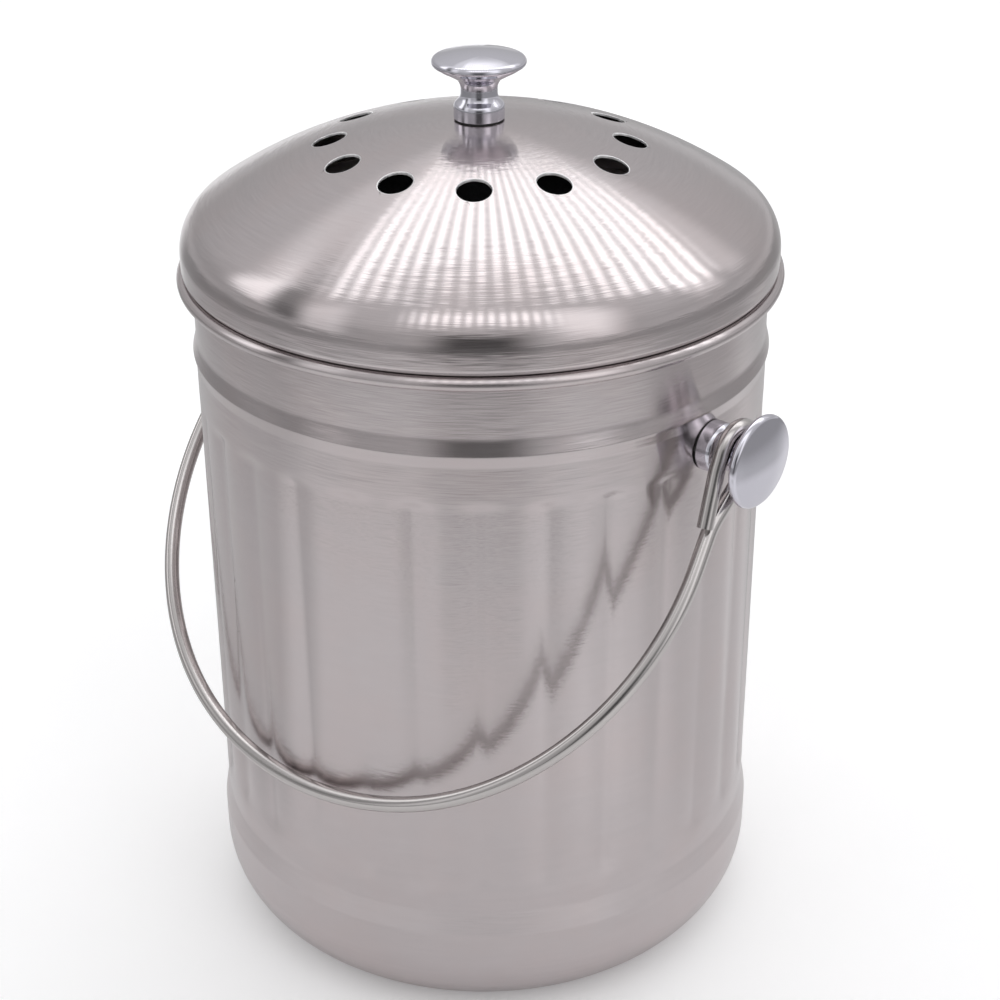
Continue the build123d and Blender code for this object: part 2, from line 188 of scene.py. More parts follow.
class Finishes(bpy.types.PropertyGroup):
    sheet_steel: colour("Sheet steel", "Stainless of the pail and the lid", (0.60, 0.552, 0.556))
    wire_steel: colour("Wire steel", "Bright drawn wire", (0.60, 0.572, 0.562))
    chrome: colour("Chrome", "Polished plate of the knobs", (0.72, 0.708, 0.775))
    zinc: colour("Zinc", "Plated screws and washers", (0.58, 0.59, 0.60))
    rubber: colour("Rubber", "Rings under the knobs", (0.02, 0.02, 0.02))
    fleece: colour("Fleece", "Lower filter layer", (0.55, 0.55, 0.54))
    carbon: colour("Carbon", "Upper filter layer", (0.035, 0.035, 0.04))
    brushing: share("Brushing", "How deep the brushed lines are", 0.5)
    floor: colour("Floor", "Sheet that the pail stands on", (0.72, 0.72, 0.72))


# ---- drawing and selecting ----
DOUBLE = 0.001 * MM  # vertices closer than this are one
SELECT_MODES = {"verts": "VERT", "edges": "EDGE", "faces": "FACE"}


def polar(radius, angle, height):
    return Vector((radius * math.cos(angle), radius * math.sin(angle), height))


def spaced(first, last, pieces):
    """Evenly spaced numbers from the first to the last."""
    return [first + (last - first) * k / pieces for k in range(pieces + 1)]


def arc_points(centre, radius, start, end, step=math.radians(6)):
    """Points along an arc in a flat (across, up) drawing."""
    pieces = max(2, math.ceil(abs(end - start) / step))
    x, y = centre
    angles = spaced(start, end, pieces)
    return [(x + radius * math.cos(a), y + radius * math.sin(a)) for a in angles]


def rounded_line(corners, radii, closed=False, step=math.radians(6), hold=0.6 * MM):
    """Corners of a flat drawing, each rounded to its radius, with points that hold straights."""
    points = []
    number = len(corners)
    for k, corner in enumerate(corners):
        here = Vector(corner)
        at_end = not closed and k in (0, number - 1)
        radius = 0 if at_end else radii[k]
        if radius == 0:
            points.append(tuple(here))
            continue
        back = (Vector(corners[k - 1]) - here).normalized()
        ahead = (Vector(corners[(k + 1) % number]) - here).normalized()
        half = back.angle(ahead) / 2
        centre = here + (back + ahead).normalized() * radius / math.sin(half)
        touch = here + back * radius / math.tan(half)
        swing = math.pi - 2 * half
        side = 1 if back.x * ahead.y - back.y * ahead.x < 0 else -1
        start = math.atan2(touch.y - centre.y, touch.x - centre.x)
        points += arc_points(centre, radius, start, start + side * swing, step)
    return held(points, hold, closed)


def held(points, hold, closed=False):
    """Adds a point near both ends of each long straight, so that its shading stays straight."""
    result = []
    last = len(points) if closed else len(points) - 1
    for k in range(last):
        here, after = Vector(points[k]), Vector(points[(k + 1) % len(points)])
        result.append(tuple(here))
        if (after - here).length > 4 * hold:
            along = (after - here).normalized() * hold
            result += [tuple(here + along), tuple(after - along)]
    if not closed:
        result.append(tuple(points[-1]))
    return result


def draw(name, points, closed=False):
    """Draws a line through points in space, one extruded vertex after another."""
    bpy.ops.object.select_all(action="DESELECT")
    bpy.ops.mesh.primitive_plane_add(size=MM, location=points[0])
    piece = bpy.context.object
    piece.name = piece.data.name = name
    bpy.ops.object.transform_apply()
    bpy.ops.object.mode_set(mode="EDIT")
    bpy.ops.mesh.select_mode(type="VERT")
    bpy.ops.mesh.select_all(action="SELECT")
    bpy.ops.mesh.merge(type="CENTER")
    for before, after in zip(points, points[1:]):
        bpy.ops.mesh.extrude_region_move(TRANSFORM_OT_translate={"value": after - before})
    if closed:
        ends = (points[0], points[-1])
        select(piece, "verts", lambda v: min((v.co - end).length for end in ends) < DOUBLE)
        bpy.ops.mesh.edge_face_add()
    bpy.ops.mesh.select_all(action="SELECT")
    return piece


def select(piece, parts, test):
    """In edit mode, selects the verts, edges or faces that pass a test, and nothing else."""
    bpy.ops.mesh.select_mode(type=SELECT_MODES[parts])
    mesh = bmesh.from_edit_mesh(piece.data)
    for part in getattr(mesh, parts):
        part.select_set(bool(test(part)))
    mesh.select_flush(parts == "verts")
    bmesh.update_edit_mesh(piece.data)


def close_up(piece, sharp=30):
    """Merges doubles, points the faces outwards and smooths all but the sharp edges."""
    merge_all()
    bpy.ops.mesh.normals_make_consistent(inside=False)
    leave(piece, sharp)


def merge_all():
    bpy.ops.mesh.select_all(action="SELECT")
    bpy.ops.mesh.remove_doubles(threshold=DOUBLE)


def edit(piece):
    choose(piece)
    bpy.ops.object.mode_set(mode="EDIT")


def leave(piece, sharp=30):
    """Leaves edit mode and smooths all but the sharp edges."""
    bpy.ops.object.mode_set(mode="OBJECT")
    smooth(piece, sharp)


def smooth(piece, sharp=30):
    choose(piece)
    bpy.ops.object.shade_smooth_by_angle(angle=math.radians(sharp))


def choose(piece):
    bpy.ops.object.select_all(action="DESELECT")
    piece.select_set(True)
    bpy.context.view_layer.objects.active = piece


def turned(name, outline, steps, closed=False, sharp=30):
    """Turns a flat (radius, height) outline about the Z axis into a finished solid."""
    piece = draw(name, [polar(r, 0, z) for r, z in outline], closed)
    spin(steps, TURN)
    close_up(piece, sharp)
    return piece


def spin(steps, angle, copies=False):
    """Spins the selection about +Z; the operator's own angle runs clockwise."""
    middle, up = (0, 0, 0), (0, 0, 1)
    bpy.ops.mesh.spin(steps=steps, dupli=copies, angle=-angle, center=middle, axis=up)


def modify(piece, kind, **settings):
    """Adds a modifier to a piece, sets it up and applies it."""
    choose(piece)
    modifier = piece.modifiers.new(kind.lower(), kind)
    for key, value in settings.items():
        setattr(modifier, key, value)
    bpy.ops.object.modifier_apply(modifier=modifier.name)


def cut(piece, cutter, sharp=30):
    """Cuts one closed piece out of another and deletes the cutter."""
    modify(piece, "BOOLEAN", object=cutter, solver="EXACT")
    remove(cutter)
    smooth(piece, sharp)


def remove(piece):
    choose(piece)
    bpy.ops.object.delete()


def copy_of(piece, name):
    """A copy with its own mesh."""
    choose(piece)
    bpy.ops.object.duplicate(linked=False)
    twin = bpy.context.object
    twin.name = twin.data.name = name
    return twin


def placed(piece, matrix):
    """Moves a piece and bakes the move into its mesh."""
    choose(piece)
    piece.matrix_world = matrix
    bpy.ops.object.transform_apply()
    return piece


def hand_over(piece, body, material, slot, *nodes):
    """Dresses a finished piece, hangs it on its body and lets it stand for its nodes."""
    piece.data.materials.clear()
    piece.data.materials.append(material)
    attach(piece, body)
    if nodes:
        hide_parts(*nodes)


# ---- materials ----
def node_sum(operation, swapped=False):
    """Arithmetic for a field, which adds a math node for it."""

    def work_out(self, other):
        values = (other, self) if swapped else (self, other)
        return self.sheet.math(operation, *values)

    return work_out


class Field:
    """A number or vector that nodes work out."""

    def __init__(self, sheet, socket):
        self.sheet = sheet
        self.socket = socket

    __add__ = __radd__ = node_sum("ADD")
    __sub__ = node_sum("SUBTRACT")
    __rsub__ = node_sum("SUBTRACT", swapped=True)
    __mul__ = __rmul__ = node_sum("MULTIPLY")
    __truediv__ = node_sum("DIVIDE")


class Sheet:
    """A node tree with short ways to add and join nodes."""

    def __init__(self, tree):
        self.tree = tree
        tree.nodes.clear()

    def add(self, kind, **settings):
        node = self.tree.nodes.new(kind)
        for key, value in settings.items():
            setattr(node, key, value)
        return node

    def put(self, socket, value):
        """Joins a field or another node's socket to a socket, or sets a constant on it."""
        if isinstance(value, Field):
            value = value.socket
        if isinstance(value, bpy.types.NodeSocket):
            self.tree.links.new(value, socket)
        else:
            socket.default_value = value

    def fill(self, node, **values):
        """Fills a node's inputs by their names, with _ for a space."""
        for name, value in values.items():
            self.put(node.inputs[name.replace("_", " ")], value)
        return node

    def filled(self, node, values, output=0):
        """Fills a node's inputs in their order and gives its output."""
        for socket, value in zip(node.inputs, values):
            self.put(socket, value)
        return Field(self, node.outputs[output])

    def read(self, kind, output):
        return Field(self, self.add(kind).outputs[output])

    def math(self, operation, *values):
        return self.filled(self.add("ShaderNodeMath", operation=operation), values)

    def vector(self, operation, *values):
        node = self.add("ShaderNodeVectorMath", operation=operation)
        number = operation in ("DOT_PRODUCT", "LENGTH")
        return self.filled(node, values, "Value" if number else "Vector")

    def scaled(self, vector, factor):
        node = self.add("ShaderNodeVectorMath", operation="SCALE")
        return self.filled(self.fill(node, Scale=factor), [vector])

    def split(self, vector):
        node = self.add("ShaderNodeSeparateXYZ")
        self.put(node.inputs[0], vector)
        return [Field(self, socket) for socket in node.outputs]

    def combine(self, x, y, z):
        return self.filled(self.add("ShaderNodeCombineXYZ"), (x, y, z))

    def angle(self, opposite, adjacent):
        return self.math("DEGREES", self.math("ARCTAN2", opposite, adjacent))

    def noise(self, vector, scale, detail=2.0, roughness=0.5, **fourth):
        """Noise in 3-D or, where W is given, in 4-D."""
        node = self.add("ShaderNodeTexNoise", noise_dimensions="4D" if fourth else "3D")
        values = {"Vector": vector, "Scale": scale, "Detail": detail, "Roughness": roughness}
        return Field(self, self.fill(node, **values, **fourth).outputs["Fac"])

    def ease(self, value, low, high, from_value=0.0, to_value=1.0):
        """Runs smoothly from one value to another while the input goes from low to high."""
        node = self.add("ShaderNodeMapRange", interpolation_type="SMOOTHSTEP")
        return self.filled(node, (value, low, high, from_value, to_value))

    def window(self, value, low, high, soft):
        """1 between two limits and 0 outside them, with soft edges."""
        rise = self.ease(value, low - soft, low + soft)
        return rise * self.ease(value, high - soft, high + soft, 1.0, 0.0)

    def blend(self, factor, first, second):
        """Mixes two colours; the colour sockets of the node are its seventh and eighth."""
        node = self.add("ShaderNodeMix", data_type="RGBA")
        for socket, value in zip((0, 6, 7), (factor, first, second)):
            self.put(node.inputs[socket], value)
        return Field(self, node.outputs[2])

    def bump(self, height, strength, distance):
        node = self.add("ShaderNodeBump")
        self.fill(node, Strength=strength, Distance=distance, Height=height)
        return Field(self, node.outputs[0])

    def place(self):
        return self.read("ShaderNodeTexCoord", "Object")


def shade(rgb, factor):
    return (*[min(1.0, channel * factor) for channel in rgb], 1.0)


def new_material(name, **settings):
    """A material with a Principled shader, its constants set on its own sockets."""
    material = bpy.data.materials.new(name)
    material.use_nodes = True
    sheet = Sheet(material.node_tree)
    surface = sheet.add("ShaderNodeBsdfPrincipled")
    output = sheet.add("ShaderNodeOutputMaterial")
    sheet.put(output.inputs["Surface"], surface.outputs[0])
    sheet.fill(surface, **settings)
    return material, sheet, surface


# Brushed sheet: spacing of the finest lines, how many of them one wide line spans, how far
# each kind runs round the axis, and the share of the fine ones in the tone.
LINE_PITCH = 0.16 * MM
WIDE_LINE = 8
FINE_STRETCH, WIDE_STRETCH = 9.0, 4.0
FINE_SHARE = 0.6
# How much the lines lighten and darken the steel and change its roughness, and how far the
# clouds warm it.
LINE_TONE = 0.12
LINE_ROUGHNESS = 0.06
CLOUD_SCALE = 34.0
CLOUD_WARMTH = 0.55
WARM = (1.03, 0.985, 0.97)
# Rim of a punched vent: its inner and outer width, the colour of its painted highlight, added
# roughness and tip.
RIM_INSIDE, RIM_OUTSIDE = 0.2 * MM, 0.5 * MM
RIM_HIGHLIGHT_COLOUR = (0.97, 0.96, 0.96, 1.0)
RIM_ROUGHNESS = 0.3
RIM_TIP = -0.12


def brushed_steel(name, rgb, roughness, depth, vents=False):
    """Sheet steel brushed in circles about the Z axis, with faint clouding.

    Every fine line tips the surface a little up or down its meridian, so that reflections
    smear across the lines and stay crisp along them.
    """
    material, sheet, surface = new_material(
        name, Metallic=1.0, Anisotropic=1.0, Anisotropic_Rotation=0.25
    )
    place = sheet.place()
    x, y, z = sheet.split(place)
    outward = sheet.combine(x, y, 0.0)
    across = sheet.vector("LENGTH", outward)
    x, y, _ = sheet.split(sheet.vector("NORMALIZE", outward))

    def lines(spacing, stretch):
        ring = sheet.combine(x * stretch, y * stretch, z / spacing)
        return sheet.noise(ring, 1.0, 1.0, 0.6, W=across / spacing)

    fine = lines(LINE_PITCH, FINE_STRETCH)
    wide = lines(LINE_PITCH * WIDE_LINE, WIDE_STRETCH)
    mixed = fine * FINE_SHARE + wide * (1 - FINE_SHARE)
    tone = sheet.blend(mixed, shade(rgb, 1 - LINE_TONE), shade(rgb, 1 + LINE_TONE))
    clouds = sheet.noise(place, CLOUD_SCALE, 3.0, 0.55)
    cloudy = sheet.ease(clouds, 0.35, 0.75, 0.0, CLOUD_WARMTH)
    warm = (*[channel * factor for channel, factor in zip(rgb, WARM)], 1.0)
    tone = sheet.blend(cloudy, tone, warm)
    rough = mixed * LINE_ROUGHNESS + (roughness - LINE_ROUGHNESS / 2)

    round_about = sheet.vector("NORMALIZE", sheet.vector("CROSS_PRODUCT", (0, 0, 1), place))
    normal = sheet.read("ShaderNodeNewGeometry", "Normal")
    meridian = sheet.vector("CROSS_PRODUCT", normal, round_about)
    normal = sheet.vector("ADD", normal, sheet.scaled(meridian, (fine - 0.5) * depth))
    if vents:
        rim, tip = vent_rims(sheet, place)
        # painted highlight: the vents' rims are lightened in colour for the glint their rounded
        # edges catch
        tone = sheet.blend(rim, tone, RIM_HIGHLIGHT_COLOUR)
        rough = rough + rim * RIM_ROUGHNESS
        normal = sheet.vector("ADD", normal, tip)
    normal = sheet.vector("NORMALIZE", normal)
    sheet.fill(surface, Base_Color=tone, Roughness=rough, Normal=normal, Tangent=round_about)
    return material


def vent_rims(sheet, place):
    """The thin rim of the nearest punched vent, 0 to 1, where a highlight is painted, and its tip
    towards the vent.
    """
    size = bpy.context.scene.lid_sizes
    pitch = TURN / size.vent_count
    x, y, _ = sheet.split(place)
    angle = sheet.math("ARCTAN2", y, x) - size.vent_first
    nearest = sheet.math("ROUND", angle / pitch) * pitch + size.vent_first
    vent_x = sheet.math("COSINE", nearest) * size.vent_circle
    vent_y = sheet.math("SINE", nearest) * size.vent_circle
    away = sheet.combine(x - vent_x, y - vent_y, 0.0)
    inside, outside = size.vent_radius + RIM_INSIDE, size.vent_radius + RIM_OUTSIDE
    rim = sheet.ease(sheet.vector("LENGTH", away), inside, outside, 1.0, 0.0)
    return rim, sheet.scaled(sheet.vector("NORMALIZE", away), rim * RIM_TIP)


def polished(name, rgb, roughness, ripple=0.04, scale=220.0):
    """Bright metal with the faint ripple and hairlines of a polished surface."""
    material, sheet, surface = new_material(name, Metallic=1.0)
    place = sheet.place()
    broad = sheet.noise(place, scale, 2.0, 0.5)
    hair = sheet.noise(place, scale * 14, 1.0, 0.7)
    tone = sheet.blend(hair, shade(rgb, 0.95), shade(rgb, 1.03))
    rough = hair * (roughness * 0.8) + roughness
    normal = sheet.bump(broad, ripple, 0.1 * MM)
    sheet.fill(surface, Base_Color=tone, Roughness=rough, Normal=normal)
    return material


def grained(name, rgb, roughness, scale, contrast, bump, sheen=0.0):
    """Rubber and filter cloth: mottled colour over a grained surface."""
    material, sheet, surface = new_material(name, Sheen_Weight=sheen)
    place = sheet.place()
    grain = sheet.noise(place, scale, 4.0, 0.65)
    broad = sheet.noise(place, scale * 0.08, 2.0, 0.5)
    mottle = sheet.ease(grain * 0.7 + broad * 0.3, 0.3, 0.7)
    tone = sheet.blend(mottle, shade(rgb, 1 - contrast), shade(rgb, 1 + contrast))
    rough = sheet.ease(grain, 0.2, 0.8, roughness - 0.1, roughness)
    normal = sheet.bump(grain, bump, 0.2 * MM)
    sheet.fill(surface, Base_Color=tone, Roughness=rough, Normal=normal)
    return material


# Every finish: what makes it, the colour it takes from the panel, and its own numbers.
FINISHES = {
    "brushed_body": (brushed_steel, "sheet_steel", {"roughness": 0.18, "depth": 0.6}),
    "brushed_lid": (
        brushed_steel, "sheet_steel", {"roughness": 0.12, "depth": 0.65, "vents": True}
    ),
    "plain_sheet": (polished, "sheet_steel", {"roughness": 0.28, "ripple": 0.2, "scale": 90.0}),
    "drawn_wire": (polished, "wire_steel", {"roughness": 0.13, "ripple": 0.1, "scale": 320.0}),
    "chrome_plate": (polished, "chrome", {"roughness": 0.04}),
    "zinc_plate": (polished, "zinc", {"roughness": 0.26, "ripple": 0.15, "scale": 500.0}),
    "black_rubber": (
        grained, "rubber", {"roughness": 0.62, "scale": 1500.0, "contrast": 0.25, "bump": 0.2}
    ),
    "needled_fleece": (
        grained, "fleece",
        {"roughness": 0.95, "scale": 1400.0, "contrast": 0.22, "bump": 0.9, "sheen": 0.4},
    ),
    "carbon_felt": (
        grained, "carbon",
        {"roughness": 0.9, "scale": 1100.0, "contrast": 0.5, "bump": 0.9, "sheen": 0.1},
    ),
}


def finish(name):
    """The named material, made when it is first asked for."""
    if name in bpy.data.materials:
        return bpy.data.materials[name]
    hues = bpy.context.scene.pail_finishes
    make, colour_name, numbers = FINISHES[name]
    if "depth" in numbers:
        numbers = {**numbers, "depth": numbers["depth"] * hues.brushing}
    return make(name, getattr(hues, colour_name), **numbers)


# ---- pail ----
# Roundings of the wall's outline: at the recess, the foot's draw-in, under the band, at the
# band's crest and at the neck.
PANEL_BEND, FOOT_BEND, BAND_BEND, CREST_BEND, NECK_BEND = 3 * MM, 6 * MM, 3 * MM, 1.5 * MM, 6 * MM
# Rows of vertices where a crease fades out, in shares of its run-out.
RUN_OUT_ROWS = (-0.5, 0, 0.33, 0.67, 1, 1.5)
RIBS_FROM = 60 * MM  # nearer the axis than this lies the base, which has no ribs


def wall_corners(size, inset, top):
    """The pail's outside line moved in by an inset, from the base's middle to its neck."""
    foot = size.body_radius + size.foot_proud
    neck = size.body_radius - size.neck_inset
    band = size.body_radius + size.step_proud
    height = pail_high.z
    shift = inset * math.tan(math.atan2(size.panel_rise, size.panel_slope) / 2)
    panel = foot - size.corner_radius - size.stand_width - size.panel_slope / 2 + shift
    band_height = height - size.band_drop
    corners = [
        (0, size.panel_rise + inset),
        (panel - size.panel_slope / 2, size.panel_rise + inset),
        (panel + size.panel_slope / 2, inset),
        (foot - inset, inset),
        (foot - inset, size.foot_height),
        (size.body_radius - inset, size.foot_height + size.foot_taper),
        (size.body_radius - inset, band_height - size.band_fall),
        (band - inset, band_height),
        (neck - inset, band_height + size.band_rise),
        (neck - inset, top),
    ]
    radii = [0, PANEL_BEND, PANEL_BEND, size.corner_radius - inset, FOOT_BEND, FOOT_BEND]
    return corners, radii + [BAND_BEND, CREST_BEND, NECK_BEND, 0]


def rib_rows(size, points):
    """Adds the heights at which the creases start and end to a wall's outline."""
    top = pail_high.z - size.rib_top_drop
    heights = [size.rib_bottom + row * size.rib_foot_run for row in RUN_OUT_ROWS]
    heights += [top - row * size.rib_run_out for row in RUN_OUT_ROWS]
    heights.sort()
    result = []
    for here, after in zip(points, points[1:]):
        result.append(here)
        low, high = min(here[1], after[1]), max(here[1], after[1])
        rows = [h for h in heights if low < h < high and abs(here[0] - after[0]) < 0.01 * MM]
        if after[1] < here[1]:
            rows.reverse()
        result += [(here[0], h) for h in rows]
    return result + [points[-1]]


def crease_depth(size, height):
    """How much of the rib's depth is reached at a height, from 0 to 1."""
    top = pail_high.z - size.rib_top_drop
    from_foot = (height - size.rib_bottom) / size.rib_foot_run
    eased = max(0.0, min(1.0, from_foot, (top - height) / size.rib_run_out))
    return eased * eased * (3 - 2 * eased)


def pail_outline(size):
    height = pail_high.z
    bead = (pail_high.x - size.bead_radius, height - size.bead_radius)
    neck = size.body_radius - size.neck_inset
    inner_neck = neck - size.sheet
    outer = rounded_line(*wall_corners(size, 0, bead[1]))
    around_bead = arc_points(bead, size.bead_radius, -math.pi, math.pi / 2, math.radians(11))
    shoulder = 1.3 * MM
    lip_centre = (inner_neck + shoulder, height - shoulder)
    lip = arc_points(lip_centre, shoulder, math.pi / 2, math.pi, math.radians(11))
    inner = rounded_line(*wall_corners(size, size.sheet, lip_centre[1]))
    inner.reverse()
    top = around_bead + [(bead[0] - 1 * MM, height), (lip[0][0] + 0.4 * MM, height)] + lip
    return rib_rows(size, outer) + top + rib_rows(size, inner[1:])


def make_pail(size):
    """One rib's width of the wall is spun, its columns are pressed in, and it is copied round."""
    start = size.rib_first
    pitch = TURN / size.rib_count
    outline = pail_outline(size)
    shell = draw("pail_body", [polar(r, start, z) for r, z in outline])
    spin(size.rib_columns, pitch)
    depths = sorted({round(crease_depth(size, z), 4) for r, z in outline} - {0.0})
    for column in range(size.rib_columns + 1):
        angle = start + pitch * column / size.rib_columns
        bow = (2 * column / size.rib_columns - 1) ** 2
        press = size.rib_relief + size.rib_depth * bow
        for depth in depths:
            press_column(shell, size, angle, depth, 1 - press * depth / size.body_radius)
    bpy.ops.mesh.select_all(action="SELECT")
    spin(size.rib_count - 1, TURN - pitch, copies=True)
    close_up(shell, sharp=40)
    return shell


def press_column(shell, size, angle, depth, scale):
    """Moves one column's vertices of one crease depth in towards the axis."""
    across = Vector((-math.sin(angle), math.cos(angle), 0))

    def on_column(vertex):
        x, y, z = vertex.co
        if abs(crease_depth(size, z) - depth) > 0.001 or math.hypot(x, y) < RIBS_FROM:
            return False
        return abs(across.dot(vertex.co)) < 0.1 * MM

    select(shell, "verts", on_column)
    bpy.ops.transform.resize(value=(scale, scale, 1), center_override=(0, 0, 0))


def pivot_cutter(size):
    bpy.ops.object.select_all(action="DESELECT")
    bpy.ops.mesh.primitive_cylinder_add(
        vertices=48, radius=size.pivot_hole, depth=2.2 * pail_high.x,
        location=pivot, rotation=(0, math.pi / 2, 0),
    )
    return bpy.context.object


# ---- lid ----
def dome_lines(size, inset):
    """Crown, shoulder and edge of the dome, from the screw hole outwards, moved in."""
    radius = dome_high.x
    crown = size.crown_radius - inset
    middle = radius - size.shoulder_radius
    swing = math.asin(middle / (size.crown_radius - size.shoulder_radius))
    centre = dome_crown_centre(size)
    shoulder_height = centre + (size.crown_radius - size.shoulder_radius) * math.cos(swing)
    first = math.pi / 2 - math.asin(screw_hole_radius() / crown)
    step = math.radians(0.7)
    points = arc_points((0, centre), crown, first, math.pi / 2 - swing, step)
    shoulder = (middle, shoulder_height)
    fine = math.radians(4)
    points += arc_points(shoulder, size.shoulder_radius - inset, math.pi / 2 - swing, 0, fine)[1:]
    return points


def dome_crown_centre(size):
    """Height of the crown sphere's centre, from the dome's highest point at the screw hole."""
    hole = screw_hole_radius()
    return dome_high.z - math.sqrt(size.crown_radius**2 - hole**2)


def screw_hole_radius():
    return bpy.context.scene.pail_sizes.pivot_hole


def make_dome(size, sheet):
    outer = dome_lines(size, 0)
    inner = dome_lines(size, sheet)
    radius, edge = dome_high.x, dome_low.z
    turn = 0.25 * MM
    hold = edge + turn + 0.6 * MM
    hem = [
        (radius, hold),
        (radius, edge + turn),
        (radius - 0.08 * MM, edge + 0.07 * MM),
        (radius - turn, edge),
        (radius - sheet + turn, edge),
        (radius - sheet, edge + turn),
        (radius - sheet, hold),
    ]
    outline = outer + hem + inner[::-1]
    dome = turned("lid_cover", outline, size.columns, closed=True, sharp=40)
    whole = copy_of(dome, "uncut_dome")
    cut(dome, vent_cutters(size), sharp=40)
    round_vent_edges(dome, size)
    keep_dome_shading(dome, whole, size, sheet)
    return dome


def vent_cutters(size):
    """Upright cylinders for all the vents, joined into one cutter."""
    bpy.ops.object.select_all(action="DESELECT")
    depth = 4 * (dome_high.z - dome_low.z)
    for k in range(size.vent_count):
        place = polar(size.vent_circle, size.vent_first + k * TURN / size.vent_count, dome_high.z)
        bpy.ops.mesh.primitive_cylinder_add(
            vertices=96, radius=size.vent_radius, depth=depth, location=place
        )
    cutters = [o for o in bpy.context.scene.objects if o.name.startswith("Cylinder")]
    for cutter in cutters:
        cutter.select_set(True)
    bpy.ops.object.join()
    return bpy.context.object


def in_vents(co, size):
    """Whether a point lies in the ring that the vents are punched in."""
    return abs(math.hypot(co.x, co.y) - size.vent_circle) < 1.2 * size.vent_radius


def round_vent_edges(dome, size):
    """Bevels the punched edges of the vents on both faces of the sheet."""

    def punched(edge):
        near = all(in_vents(v.co, size) for v in edge.verts)
        bent = len(edge.link_faces) == 2 and edge.calc_face_angle(0) > math.radians(40)
        return near and bent

    edit(dome)
    select(dome, "verts", lambda v: in_vents(v.co, size))
    bpy.ops.mesh.remove_doubles(threshold=0.1 * MM)
    select(dome, "edges", punched)
    bpy.ops.mesh.bevel(offset=size.vent_edge, segments=2, affect="EDGES")
    leave(dome, sharp=40)


def keep_dome_shading(dome, whole, size, sheet):
    """Gives the cut dome's skin the shading of the uncut one, so that no vent dents it."""
    skin = dome.vertex_groups.new(name="skin")
    kept = [v.index for v in dome.data.vertices if skin_vertex(v.co, size, sheet)]
    skin.add(kept, 1.0, "REPLACE")
    modify(
        dome, "DATA_TRANSFER", object=whole, use_loop_data=True, vertex_group=skin.name,
        data_types_loops={"CUSTOM_NORMAL"}, loop_mapping="POLYINTERP_NEAREST",
    )
    dome.vertex_groups.clear()
    remove(whole)


SKIN_RING = (10 * MM, 70 * MM)  # the part of the crown that keeps its shading
ON_SKIN = 0.02 * MM  # a vertex this close to a face of the sheet belongs to it


def skin_vertex(co, size, sheet):
    """Whether a point lies on one of the two faces of the crown, round the vents."""
    if not SKIN_RING[0] < math.hypot(co.x, co.y) < SKIN_RING[1]:
        return False
    away = (co - Vector((0, 0, dome_crown_centre(size)))).length
    inwards = size.crown_radius - away
    return min(abs(inwards), abs(inwards - sheet)) < ON_SKIN


def make_plug_ring(size, sheet):
    """Skirt in the pail's neck, flange over its rim, collar in the dome and inward lip."""
    outer = plug_high.x
    skirt = skirt_radius()
    flange = dome_low.z - 1.1 * MM
    lip = skirt - size.plug_lip
    bend = 0.35 * MM
    corners = [
        (skirt, plug_low.z),
        (skirt, flange),
        (outer, flange),
        (outer, plug_high.z),
        (outer - sheet, plug_high.z),
        (outer - sheet, flange + sheet),
        (lip, flange + sheet),
        (lip, flange),
        (skirt - sheet, flange),
        (skirt - sheet, plug_low.z),
    ]
    outline = rounded_line(corners, [bend] * len(corners), closed=True, step=math.radians(22))
    return turned("plug_ring", outline, 240, closed=True, sharp=40)


def skirt_radius():
    """Outside of the plug ring's skirt, from the pail's neck and the gap between them."""
    pail, lid = bpy.context.scene.pail_sizes, bpy.context.scene.lid_sizes
    return pail.body_radius - pail.neck_inset - pail.sheet - lid.plug_gap


CLIP_COUNT = 4


def make_clips(size, sheet):
    """One bent strip, turned through its own width and copied to its other places."""
    wall, thick, reach = skirt_radius() - sheet, size.clip_sheet, 9 * MM
    tip = wall + thick - reach
    corners = [
        (wall, clips_low.z),
        (wall, clips_high.z),
        (tip, clips_high.z),
        (tip, clips_high.z - thick),
        (wall - thick, clips_high.z - thick),
        (wall - thick, clips_low.z),
    ]
    bend = 0.25 * MM
    outline = rounded_line(corners, [bend] * len(corners), closed=True, step=math.radians(30))
    width = size.clip_width / wall
    start = TURN / 8 - width / 2
    clips = draw("filter_spring_clips", [polar(r, start, z) for r, z in outline], closed=True)
    spin(8, width)
    bpy.ops.mesh.select_all(action="SELECT")
    bpy.ops.mesh.fill_holes(sides=0)
    spin(CLIP_COUNT - 1, TURN * (1 - 1 / CLIP_COUNT), copies=True)
    close_up(clips, sharp=40)
    return clips


PAD_RINGS, PAD_COLUMNS = 24, 160  # rows of faces on a pad's flat sides, and columns


def make_pad(name, low, high, edge, unevenness, grain):
    """A felt disc with rounded edges and an uneven surface."""
    radius = high.x
    rings = spaced(0, radius, PAD_RINGS)[:-1]
    corners = [(0, low.z), (radius, low.z), (radius, high.z), (0, high.z)]
    side = rounded_line(corners, [0, edge, edge, 0], step=math.radians(22), hold=2 * MM)
    bottom = [(r, low.z) for r in rings[:-1]]
    top = [(r, high.z) for r in rings[:-1]][::-1]
    pad = turned(name, bottom + side[2:-2] + top, PAD_COLUMNS)
    texture = bpy.data.textures.new(name + "_waves", "CLOUDS")
    texture.noise_scale = grain
    modify(pad, "DISPLACE", texture=texture, strength=-unevenness, mid_level=0.0)
    return pad


